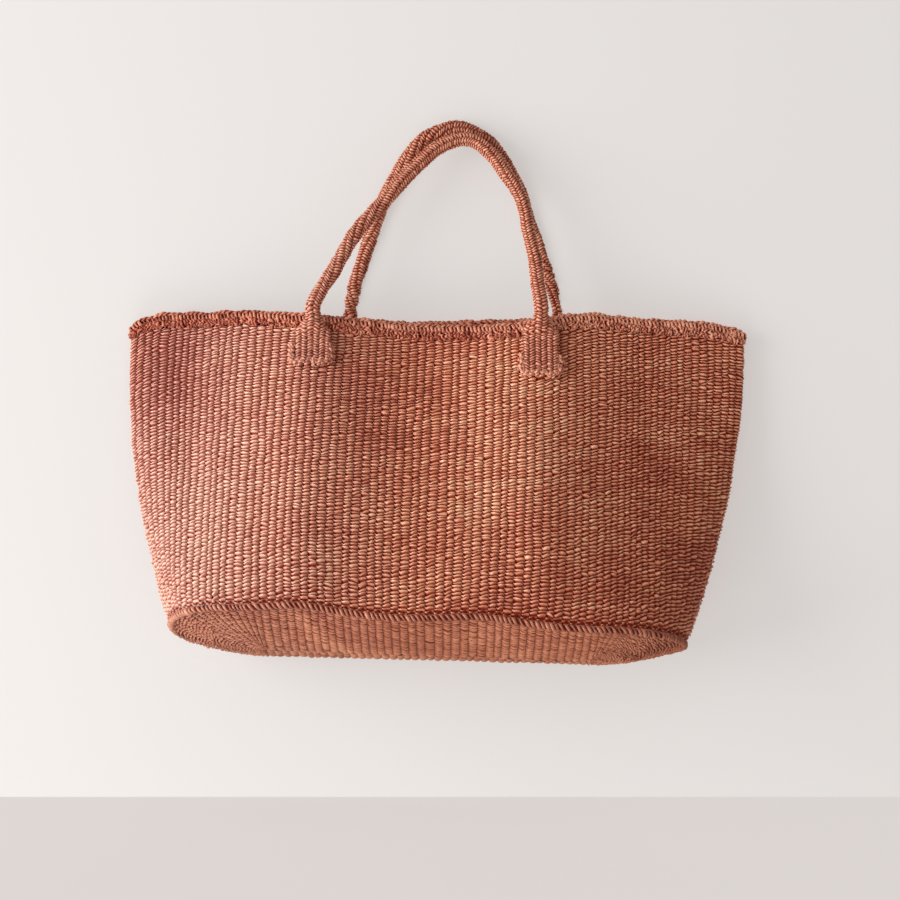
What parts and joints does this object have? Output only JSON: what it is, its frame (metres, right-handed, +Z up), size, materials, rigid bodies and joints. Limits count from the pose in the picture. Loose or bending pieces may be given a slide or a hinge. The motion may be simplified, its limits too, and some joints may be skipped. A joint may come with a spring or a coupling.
{
  "type": "sisal tote bag",
  "caption": "Twined sisal tote bag with a bowed oval base, a bound rim and two sewn-on strap handles that swing at the rim, shaped as it hangs by both handles.",
  "frame": {"origin": "the point on the peg's line where the arches of both handles hang, under the front handle's arch", "axes": "+X to the right along the bag's length, seen from the front; the front faces -Y and the back, which lies against what the bag hangs on, faces +Y; +Z up"},
  "size_m": [0.5487, 0.1781, 0.4785],
  "materials": {
    "side_weave": "coarse twined sisal, matt",
    "base_weave": "coarse twined sisal, matt, a little browner and worn",
    "rim_weave": "bound and braided sisal, matt",
    "handle_weave": "narrow twined strap rolled into a cord, matt",
    "sewing_cord": "twisted sisal cord, matt"
  },
  "bodies": {
    "bag": {"side_wall": "side_weave", "base_panel": "base_weave", "base_edge_braid": "base_weave", "rim_binding": "rim_weave", "rim_edge_braid": "rim_weave", "front_left_tab": "handle_weave", "front_left_sewing_cord": "sewing_cord", "front_right_tab": "handle_weave", "front_right_sewing_cord": "sewing_cord", "back_left_tab": "handle_weave", "back_left_sewing_cord": "sewing_cord", "back_right_tab": "handle_weave", "back_right_sewing_cord": "sewing_cord"},
    "front_handle": {"front_handle": "handle_weave"},
    "back_handle": {"back_handle": "handle_weave"}
  },
  "joints": [
    {"name": "front_handle_swing", "type": "hinge", "parent": "bag", "child": "front_handle", "pos_m": [-0.0295, -0.0471, -0.144], "axis": [1, 0, 0], "range_deg": [0, 130]},
    {"name": "back_handle_swing", "type": "hinge", "parent": "bag", "child": "back_handle", "pos_m": [-0.0065, 0.0171, -0.144], "axis": [-1, 0, 0], "range_deg": [0, 125]}
  ]
}
